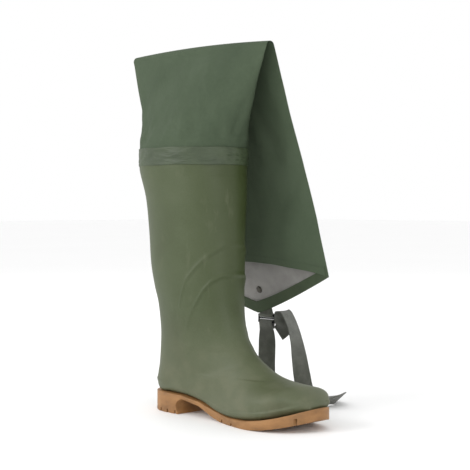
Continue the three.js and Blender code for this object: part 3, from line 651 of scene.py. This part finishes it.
# %% A copy with rounded edges
def softened(node, name, bevel, material, segments=2, flat_angle=4.0, smooth_angle=40.0):
    mesh = frame["nodes"][node].data.copy()
    mesh.materials.clear()
    mesh.materials.append(material)
    piece = new_piece(name, mesh)
    edit = bmesh.new()
    edit.from_mesh(mesh)
    bmesh.ops.remove_doubles(edit, verts=edit.verts[:], dist=1e-5)
    bmesh.ops.dissolve_limit(
        edit, verts=edit.verts[:], edges=edit.edges[:], angle_limit=math.radians(flat_angle)
    )
    for face in edit.faces:
        face.material_index = 0
    edit.to_mesh(mesh)
    edit.free()
    if bevel:
        apply_modifier(
            piece, "BEVEL", width=bevel * MM, segments=segments, limit_method="ANGLE",
            angle_limit=math.radians(35), harden_normals=False,
        )
    smooth(piece, smooth_angle)
    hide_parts(node)
    return piece


print("copies can be softened")

# %% Ring, tab, stud and sole
ring = softened("loop_ring", "loop_ring_moulded", 0.0, BLACK_PLASTIC, flat_angle=0.5, smooth_angle=50)
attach(ring, "strap")
tab = softened("strap_tab", "sewn_tab", 0.35, WEB_CHARCOAL)
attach(tab, "cuff")
rivet = softened("tab_rivet", "tab_stud", 0.25, DARK_METAL, segments=3)
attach(rivet, "cuff")
sole = softened("outsole", "cleated_sole", 0.7, SOLE_TAN)
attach(sole, "boot")
print("sole", len(sole.data.polygons), "faces; tab", len(tab.data.polygons), "faces")

# %% [markdown]
# A middle bar closes the ring between the tab's loop and the strap's, so no light shows through. It
# is moulded with the ring, so it turns with the strap.

# %% Middle bar
BAR_LOW, BAR_HIGH, BAR_HALF_DEPTH, BAR_ROUND = 121.35, 123.35, 1.0, 0.6
ring_sides = [corner[0] for corner in ring.bound_box]
bar_mesh = bpy.data.meshes.new("ring_middle_bar")
edit = bmesh.new()
bmesh.ops.create_cube(edit, size=1.0)
for corner in edit.verts:
    side, depth, height = corner.co
    corner.co = (
        mix(min(ring_sides) + MM, max(ring_sides) - MM, side + 0.5),
        (STRAP_HINGE.y + depth * 2 * BAR_HALF_DEPTH) * MM,
        mix(BAR_LOW, BAR_HIGH, height + 0.5) * MM,
    )
edit.to_mesh(bar_mesh)
edit.free()
bar_mesh.materials.append(BLACK_PLASTIC)
middle_bar = new_piece("ring_middle_bar", bar_mesh)
apply_modifier(middle_bar, "BEVEL", width=BAR_ROUND * MM, segments=3)
smooth(middle_bar, 50)
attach(middle_bar, "strap")
[tuple(p * MM) for p in strap_line]
print("middle bar", len(middle_bar.data.polygons), "faces")

# %% [markdown]
# ## The leg and the cuff, cut from one cloth
#
# A coated tube that has been folded over keeps the memory of it: soft folds fan down from the fold's
# two corners, the cloth puckers where it is welded to the boot, and the cuff sags in long shallow
# waves. All of it is drawn as one grid, so the two pieces meet at the fold line without a step. The
# leg then stays with the boot, and the cuff stays where it is drawn, in the frame's space.

# %% One grid from the boot to the hem
COLUMNS = 180
LEG_ROWS, FOLD_ROWS, CUFF_ROWS = 70, 24, 120
CLOTH = 1.2


def ripple(x, y, z, seed):
    return noise.noise(Vector((x + seed, y - seed, z)))


def crease_line(place, start, end, width, depth):
    """A shallow valley along the line from start to end."""
    a, b = Vector(start), Vector(end)
    run = b - a
    t = clamp((place - a).dot(run) / run.length_squared)
    away = (place - (a + run * t)).length
    return -depth * math.exp(-(away / width) ** 2) * ease(0.0, 0.2, t) * (1 - ease(0.75, 1.0, t))


def leg_ripple(place, turn, share):
    """How far the leg's cloth stands off its taut shape, in millimetres."""
    side = abs(math.sin(turn))
    room = ease(0.0, 0.12, share) * mix(1.0, side, share) * (1 - ease(0.86, 1.0, share))
    broad = ripple(place.x * 0.016, place.y * 0.016, place.z * 0.009, 3.1) * 5.0
    ridged = 1 - abs(ripple(place.x * 0.02 + place.z * 0.011, place.y * 0.02, place.z * 0.008, 9.7)) * 3
    puckers = ripple(place.x * 0.075, place.y * 0.075, place.z * 0.012, 5.5) * 2.2
    lines = (
        crease_line(place, (92, -12, 376), (112, 0, 452), 7, 4.5)
        + crease_line(place, (-30, -62, 372), (-105, -12, 470), 9, 2.6)
        + crease_line(place, (40, -56, 372), (96, -18, 480), 10, 2.8)
        + crease_line(place, (-70, -38, 378), (-110, -6, 440), 8, 2.4)
    )
    return room * (broad + max(ridged, 0) * 1.6 + puckers * (1 - share) + lines)


def cuff_ripple(x, distance):
    """How far both layers of the cuff stand out together, in millimetres."""
    room = ease(10.0, 70.0, distance)
    broad = ripple(x * 0.011, distance * 0.006, 0.0, 1.7) * 9.0
    slanted = 1 - abs(ripple(x * 0.012 + distance * 0.004, distance * 0.005, 2.0, 6.2)) * 2.6
    small = ripple(x * 0.04, distance * 0.02, 5.0, 2.9) * 1.6
    hem = ripple(x * 0.03, 0.0, 8.0, 4.4) * 2.5 * ease(240.0, 330.0, distance)
    return room * (broad + max(slanted, 0) * 3.0 - 1.5 + small + hem)


STRAP_SIDE, CALM_BY_TAB = 20, 0.85


def cuff_place(turn, travel, inset=0.0):
    """A point of the cuff with its ripples, which fade where the strap swings past the hem."""
    place, x, distance = cuff_point(turn, travel, inset)
    edge = 1 - (abs(x) / (MOUTH_WIDTH / 2)) ** 4
    near_tab = ease(270, 330, distance) * (1 - ease(40, 80, abs(x - STRAP_SIDE)))
    calm = 1 - CALM_BY_TAB * near_tab
    return place + CUFF_OUT * (cuff_ripple(x, distance) * mix(0.45, 1.0, edge) * calm)


turns = [2 * math.pi * c / COLUMNS for c in range(COLUMNS)]
LEG_BOTTOM = BOOT_TOP + 1.0
leg_heights = [mix(LEG_BOTTOM, HINGE_Z, r / (LEG_ROWS - 1)) for r in range(LEG_ROWS)]
leg_grid = np.array([[tuple(leg_point(turn, height)) for turn in turns] for height in leg_heights])
leg_inside = np.array([
    [tuple(leg_point(turn, height, CLOTH)) for turn in turns] for height in leg_heights
])
leg_out = grid_normals(leg_grid)
leg_taut = leg_grid.copy()
for r, height in enumerate(leg_heights):
    share = clamp((height - BAND_HIGH) / (HINGE_Z - BAND_HIGH))
    for c, turn in enumerate(turns):
        leg_grid[r, c] += leg_out[r, c] * leg_ripple(Vector(leg_grid[r, c]), turn, share)

fold_angle = math.pi - CUFF_LEAN
leg_inside += leg_grid - leg_taut


def fold_rows(inset):
    return np.array([
        [tuple(fold_point(turn, fold_angle * r / FOLD_ROWS, inset)) for turn in turns]
        for r in range(1, FOLD_ROWS + 1)
    ])


def cuff_rows(inset):
    return np.array([
        [tuple(cuff_place(turn, r / CUFF_ROWS, inset)) for turn in turns]
        for r in range(1, CUFF_ROWS + 1)
    ])


tube = np.concatenate([leg_grid, fold_rows(0.0), cuff_rows(0.0)]) * MM
inner_tube = np.concatenate([leg_inside, fold_rows(CLOTH), cuff_rows(CLOTH)]) * MM
tube_normals = grid_normals(tube)
print("tube grid", tube.shape)

# %% [markdown]
# The inner wall lies 1.2 mm inside the outer one, and stops a little short of each sharp crease, as
# the two layers of real cloth do. The outer wall is green, and the inner one is the grey knit.

# %% The two cloth pieces
seam_row = LEG_ROWS - 1
leg = walled(
    "leg_cloth_skin", tube[:seam_row + 1], inner_tube[:seam_row + 1], tube_normals[:seam_row + 1],
    [LEG_GREEN, KNIT_GREY],
)
cuff = walled(
    "cuff_cloth_skin", tube[seam_row:], inner_tube[seam_row:], tube_normals[seam_row:],
    [LEG_GREEN, KNIT_GREY],
)
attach(leg, "boot")
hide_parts("leg_cloth")
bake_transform(cuff)
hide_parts("cuff_cloth", "fold_cloth")


# %% [markdown]
# ## The turned hem
#
# At the mouth the cloth is turned in and stitched, which makes a green band round the inside of the
# cuff, painted a darker green as painted shade inside the mouth. Where the band ends, the grey knit begins.
# A row of stitches shows on the outside.

# %% Hem band and stitches
HEM_BAND, HEM_INSET, HEM_THICKNESS = 15.0, 1.9, 1.0
HEM_ROWS = 8
hem_start = 1 - HEM_BAND / CUFF_CREASE
hem_grid = np.array([
    [tuple(cuff_place(turn, mix(hem_start, 1.0, r / (HEM_ROWS - 1)), HEM_INSET)) for turn in turns]
    for r in range(HEM_ROWS)
]) * MM
hem_normals = grid_normals(hem_grid)
hem_back = hem_grid - hem_normals * (HEM_THICKNESS * MM)
# The hem's darker green is painted shade.
hem = walled("turned_hem", hem_grid, hem_back, hem_normals, [HEM_PAINTED_SHADE])
for face in hem.data.polygons:
    face.material_index = 0
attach(hem, "cuff")
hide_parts("hem_band")


def stitch_row(name, line, outward, pitch, length, radius, body):
    """Short thread stitches laid along a line of points, each a small pointed bead."""
    steps = [(b - a).length for a, b in zip(line, line[1:])]
    reach = np.concatenate([[0], np.cumsum(steps)])
    points, faces = [], []
    at = pitch / 2
    while at < reach[-1] - pitch / 2:
        k = int(np.searchsorted(reach, at)) - 1
        run = (line[k + 1] - line[k]).normalized()
        middle = line[k].lerp(line[k + 1], (at - reach[k]) / max(steps[k], 1e-9))
        out = outward[k]
        side = run.cross(out).normalized()
        base = len(points)
        points.append(middle - run * length / 2 - out * radius * 0.4)
        points.append(middle + run * length / 2 - out * radius * 0.4)
        for turn in range(6):
            angle = turn * math.pi / 3
            points.append(middle + (side * math.cos(angle) + out * math.sin(angle)) * radius)
        for turn in range(6):
            here, following = base + 2 + turn, base + 2 + (turn + 1) % 6
            faces += [(base, following, here), (base + 1, here, following)]
        at += pitch
    mesh = bpy.data.meshes.new(name)
    mesh.from_pydata([tuple(p) for p in points], [], faces)
    mesh.materials.append(THREAD)
    piece = new_piece(name, mesh)
    choose_only(piece)
    bpy.ops.object.mode_set(mode="EDIT")
    bpy.ops.mesh.select_all(action="SELECT")
    bpy.ops.mesh.normals_make_consistent(inside=False)
    bpy.ops.object.mode_set(mode="OBJECT")
    smooth(piece)
    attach(piece, body)
    return piece


STITCH_PITCH, STITCH_LENGTH, STITCH_RADIUS = 0.0036, 0.0027, 0.00035
stitch_turns = [2 * math.pi * c / 720 for c in range(721)]
hem_line, hem_out = [], []
for turn in stitch_turns:
    flat = cuff_place(turn, 1 - 11.0 / CUFF_CREASE)
    near = cuff_place(turn + 0.002, 1 - 11.0 / CUFF_CREASE)
    lower = cuff_place(turn, 1 - 8.0 / CUFF_CREASE)
    out = (near - flat).cross(flat - lower).normalized()
    hem_line.append(flat * MM)
    hem_out.append(out)
hem_stitches = stitch_row(
    "hem_stitches", hem_line, hem_out, STITCH_PITCH, STITCH_LENGTH, STITCH_RADIUS, "cuff"
)
print("hem", len(hem.data.polygons), "faces; stitches", len(hem_stitches.data.polygons), "faces")

# %% [markdown]
# ## The boot
#
# The boot is one moulded shell. Its rings lean from level at the calf to upright at the toe, so each
# ring is given by a point on the front line, a point on the back line, a half width, and how square
# its lower side is. Raised lines mark where the mould is thicker: two arcs over the shin and the
# instep, a kick ledge at the heel, and a foxing strip round the foot.

# %% Rings of the boot
SOLE_LENGTH, HEEL_BACK = 296.0, -60.0
ANKLE_HEIGHT, SHELL_WALL = 152.0, 2.6
SHAFT = [
    (1, 1, 1, 1), (0.92, 1, 1, 1), (0.735, 0.894, 1.019, 0.91), (0.51, 0.835, 1.007, 0.85),
    (0.284, 0.806, 1.007, 0.8), (0.127, 0.73, 1.013, 0.75), (0, 0.648, 1.036, 0.697),
]
FOOT = [
    (0.52, 130, 0.028, 118, 42, 2.1), (0.545, 112, 0.022, 92, 39.5, 2.2), (0.575, 99, 0.014, 64, 38.5, 2.4),
    (0.61, 89, 0.01, 42, 38, 2.8), (0.642, 82.5, 0.035, 28, 37, 3.2), (0.67, 77, 0.135, 28, 37, 5),
    (0.7, 71.5, 0.255, 27, 36.5, 6), (0.73, 67, 0.37, 21.5, 37.5, 6), (0.765, 63, 0.485, 13, 42, 6),
    (0.805, 60, 0.6, 9.5, 47, 6), (0.85, 58, 0.715, 10.5, 50, 6), (0.893, 57, 0.81, 14.5, 48, 5),
    (0.93, 54, 0.885, 19.5, 40.5, 4), (0.962, 48, 0.94, 24.5, 30, 3), (0.984, 41, 0.975, 28.5, 18, 2.4),
]
TOE_START, TOE_SHIFT, FOOT_SHIFT = 0.9, 7.0, -1.0


def along(share):
    return HEEL_BACK + share * SOLE_LENGTH


stations = []
for rise, back, front, half in SHAFT:
    height = mix(ANKLE_HEIGHT, BOOT_TOP, rise)
    stations.append((
        CALF_X + front * CALF_LENGTH / 2, height, CALF_X - back * CALF_LENGTH / 2, height,
        half * CALF_WIDTH / 2, 2.0, 0.0,
    ))
for ridge, ridge_height, keel, keel_height, half, square in FOOT:
    shift = TOE_SHIFT if ridge > TOE_START else FOOT_SHIFT
    stations.append((along(ridge), ridge_height, along(keel), keel_height, half, square, shift))
stations = np.array(stations)


def between_rings(table, shaft_spans, foot_spans):
    """The rings with more rings between them, on a smooth curve through its points."""
    rows = []
    for k in range(len(table) - 1):
        a, b = table[max(k - 1, 0)], table[k]
        c, d = table[k + 1], table[min(k + 2, len(table) - 1)]
        slope_b, slope_c = (c - a) / 2, (d - b) / 2
        spans = shaft_spans if k < len(SHAFT) - 1 else foot_spans
        for step in range(spans):
            t = step / spans
            rows.append(
                b * (2 * t ** 3 - 3 * t ** 2 + 1) + c * (3 * t ** 2 - 2 * t ** 3)
                + slope_b * (t ** 3 - 2 * t ** 2 + t) + slope_c * (t ** 3 - t ** 2)
            )
    rows.append(table[-1])
    return np.array(rows)


BOOT_COLUMNS = 216
SHAFT_SPANS, FOOT_SPANS = 16, 6
boot_rings = between_rings(stations, SHAFT_SPANS, FOOT_SPANS)


def boot_ring(ring):
    ridge_x, ridge_z, keel_x, keel_z, half, square, shift = ring
    points = []
    for c in range(BOOT_COLUMNS):
        angle = 2 * math.pi * c / BOOT_COLUMNS
        power = 2 / (square if math.sin(angle) < 0 else 2.0)
        up = math.copysign(abs(math.sin(angle)) ** power, math.sin(angle))
        out = math.copysign(abs(math.cos(angle)) ** power, math.cos(angle))
        points.append((
            (ridge_x + keel_x) / 2 + up * (ridge_x - keel_x) / 2,
            shift + out * half,
            (ridge_z + keel_z) / 2 + up * (ridge_z - keel_z) / 2,
        ))
    return points


boot_grid = np.array([boot_ring(ring) for ring in boot_rings])
tip = boot_grid[-1].mean(axis=0)
TOE_CAP = [(0.86, 1.4), (0.62, 2.6), (0.34, 3.3), (0.06, 3.5)]
cap_rows = [tip + (boot_grid[-1] - tip) * scale + np.array([reach, 0, 0]) for scale, reach in TOE_CAP]
boot_grid = np.concatenate([boot_grid, np.array(cap_rows)])
print("boot grid", boot_grid.shape)


# %% [markdown]
# The raised lines are moves of the grid along its own normals. Each is a smooth hump a few
# millimetres wide, placed by its height and by how far round the boot it lies.

# %% Raised lines and wear folds
def hump(distance, width):
    return math.exp(-(distance / width) ** 2)


def arc_height(bearing, table):
    return float(np.interp(bearing, [row[0] for row in table], [row[1] for row in table]))


OUTER_ARC = [(0, 237), (14, 236), (30, 222), (45, 204), (57, 188), (70, 152), (80, 128)]
INNER_ARC = [(0, 196), (16, 195), (26, 187), (35, 174), (46, 150), (56, 126), (62, 112)]
sole_top = boot_rings[(len(SHAFT) - 2) * SHAFT_SPANS:, [2, 3]]


ARC_RISE, ARC_WIDTH, PANEL_RISE = 1.9, 2.6, 0.5
FOXING_RISE, FOXING_TOP, FOXING_END = 1.8, 9.5, 11.0
KICK_RISE, KICK_HEIGHT, KICK_WIDTH = 1.4, 44, 2.6
ANKLE_FOLD_HEIGHT, ANKLE_FOLD_WIDTH = 118, 26
WAVER, ANKLE_WAVER = 1.5, 1.4
SHIN_X = 5


def boot_relief(x, y, z):
    """How far the moulding stands off its plain shape, in millimetres."""
    front = x > SHIN_X
    bearing = math.degrees(math.atan2(abs(y), x - SHIN_X)) if front else 90.0
    lift = 0.0
    if z > 95 and front:
        outer, inner = arc_height(bearing, OUTER_ARC), arc_height(bearing, INNER_ARC)
        fade = 1 - ease(62, 80, bearing)
        lift += ARC_RISE * hump(z - outer, ARC_WIDTH) * fade
        lift += ARC_RISE * hump(z - inner, ARC_WIDTH) * (1 - ease(52, 62, bearing))
        lift += PANEL_RISE * ease(0, 12, outer - z) * fade
    above = z - float(np.interp(x, sole_top[:, 0], sole_top[:, 1]))
    if x > along(0.02) and above < 30:
        strip = ease(-1, 1.5, above) * (1 - ease(FOXING_TOP, FOXING_END, above))
        lift += FOXING_RISE * strip * ease(along(0.35), along(0.6), x)
    if x < along(0.16) and z < 60:
        ledge = hump(z - KICK_HEIGHT, KICK_WIDTH) + 0.35 * ease(KICK_HEIGHT, 40, z)
        lift += KICK_RISE * ledge * (1 - ease(along(0.1), along(0.16), x))
    if 60 < z < 330:
        lift += ripple(x * 0.02, y * 0.02, z * 0.011, 7.3) * WAVER
    ankle = hump(z - ANKLE_FOLD_HEIGHT, ANKLE_FOLD_WIDTH) * ease(20, 80, x)
    lift += ankle * ripple(x * 0.02, y * 0.03, z * 0.07, 2.2) * ANKLE_WAVER
    return lift


boot_out = grid_normals(boot_grid)
for r in range(len(boot_rings)):
    for c in range(BOOT_COLUMNS):
        x, y, z = boot_grid[r, c]
        boot_grid[r, c] += boot_out[r, c] * boot_relief(x, y, z)
boot = skin("boot_moulding", boot_grid * MM)
edit = bmesh.new()
edit.from_mesh(boot.data)
edit.verts.ensure_lookup_table()
toe_ring = [edit.verts[(len(boot_grid) - 1) * BOOT_COLUMNS + c] for c in range(BOOT_COLUMNS)]
edit.faces.new(toe_ring)
bmesh.ops.recalc_face_normals(edit, faces=edit.faces[:])
edit.to_mesh(boot.data)
edit.free()
boot.data.materials.append(BOOT_PVC)
apply_modifier(boot, "SOLIDIFY", thickness=SHELL_WALL * MM, offset=-1.0)
smooth(boot, 60)
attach(boot, "boot")
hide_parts("boot_shell")
print("boot", len(boot.data.polygons), "faces")

# %% [markdown]
# ## The joint band
#
# A strip of welded tape covers the place where the cloth tube is glued over the boot. Heat has
# puckered it, and its two edges wander a little.

# %% Joint band
BAND_ROWS, BAND_COLUMNS, BAND_THICKNESS = 17, 260, 0.9
BAND_OFFSET, EDGE_WANDER, MIDDLE_WANDER = 0.5, 0.9, 0.5
band_grid = np.zeros((BAND_ROWS, BAND_COLUMNS, 3))
for r in range(BAND_ROWS):
    for c in range(BAND_COLUMNS):
        turn = 2 * math.pi * c / BAND_COLUMNS
        ring_x, ring_y = math.cos(turn), math.sin(turn)
        edge = ripple(ring_x * 3, ring_y * 3, 0.5 if r < BAND_ROWS / 2 else 9.5, 1.1)
        wander = EDGE_WANDER if r in (0, BAND_ROWS - 1) else MIDDLE_WANDER
        height = mix(BAND_LOW, BAND_HIGH, r / (BAND_ROWS - 1)) + edge * wander
        pucker = ripple(ring_x * 5, ring_y * 5, r * 0.35, 4.0)
        pucker += ripple(ring_x * 9, ring_y * 9, r * 0.9, 8.0) * 0.6
        swell = math.sin(math.pi * r / (BAND_ROWS - 1)) ** 0.6
        outward = BAND_OFFSET + BAND_THICKNESS + pucker * swell
        place = leg_point(turn, height, -outward)
        band_grid[r, c] = place
joint_band = skin("joint_band_tape", band_grid * MM)
joint_band.data.materials.append(BAND_GREEN)
apply_modifier(joint_band, "SOLIDIFY", thickness=BAND_THICKNESS * MM, offset=-1.0)
apply_modifier(joint_band, "BEVEL", width=0.4 * MM, segments=2, limit_method="ANGLE")
smooth(joint_band, 50)
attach(joint_band, "boot")
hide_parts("joint_band")
print("band", len(joint_band.data.polygons), "faces")

# %% [markdown]
# ## What stays as it is
#
# The knit lining, the footbed and the two seam tapes lie inside, where only a look down the leg
# finds them. Their solids are right already, so they only get their finishes.

# %% Finishes for the solids that stay
KEPT = {
    "boot_lining": KNIT_GREY, "footbed": FOAM_GREY,
    "leg_seam_tape": SEAM_GREY, "cuff_seam_tape": SEAM_GREY,
}
for node, material in KEPT.items():
    slots = frame["nodes"][node].data.materials
    for k in range(len(slots)):
        frame["nodes"][node].material_slots[k].material = material
print("kept solids", sorted(KEPT))

# %% [markdown]
# ## Floor and light
#
# A plain pale floor runs to a white horizon. One large soft light stands to the left of the camera,
# a weaker one stands low on its right and reaches into the gap beside the leg, a third lies behind
# the object, and a white sky does the rest.

# %% Floor
FLOOR_SIZE = 30.0
bpy.ops.object.select_all(action="DESELECT")
bpy.ops.mesh.primitive_plane_add(size=FLOOR_SIZE, location=(0, 0, -0.0002))
floor = bpy.context.object
floor.name = "floor"
floor_finish = Finish("floor_pale")
floor_cloud = floor_finish.noise(1.5, 2.0)
FLOOR_DIM, FLOOR_BRIGHT = (0.955,) * 3, (0.965,) * 3
floor_colour = floor_finish.ramp(floor_cloud, (0.3, FLOOR_DIM), (0.7, FLOOR_BRIGHT))
floor_finish.surface(floor_colour, 0.75 + floor_cloud * 0.1)
floor.data.materials.append(floor_finish.material)
print("floor", FLOOR_SIZE, "m across")

# %% Light
bpy.context.scene.view_settings.view_transform = "Standard"
world = bpy.data.worlds.new("studio")
world.use_nodes = True
sky = world.node_tree.nodes["Background"]
sky.inputs["Color"].default_value = (1.0, 1.0, 1.0, 1.0)
sky.inputs["Strength"].default_value = 1.0
bpy.context.scene.world = world


LIGHT_TARGET = Vector((0.02, 0.02, 0.25))
LIGHTS = [  # name, place in metres, width in metres, watts
    ("key", (-0.9, -2.2, 1.4), 1.4, 28),
    ("fill", (2.0, -1.2, 0.7), 1.2, 9),
    ("rim", (-1.8, 1.6, 1.8), 1.4, 8),
]


def soft_light(name, place, size, power):
    data = bpy.data.lights.new(name, "AREA")
    data.shape = "DISK"
    data.size = size
    data.energy = power
    light = bpy.data.objects.new(name, data)
    light.location = place
    light.rotation_euler = (LIGHT_TARGET - Vector(place)).to_track_quat("-Z", "Y").to_euler()
    bpy.context.scene.collection.objects.link(light)


for light_row in LIGHTS:
    soft_light(*light_row)
print(len(LIGHTS), "soft lights and a white sky")
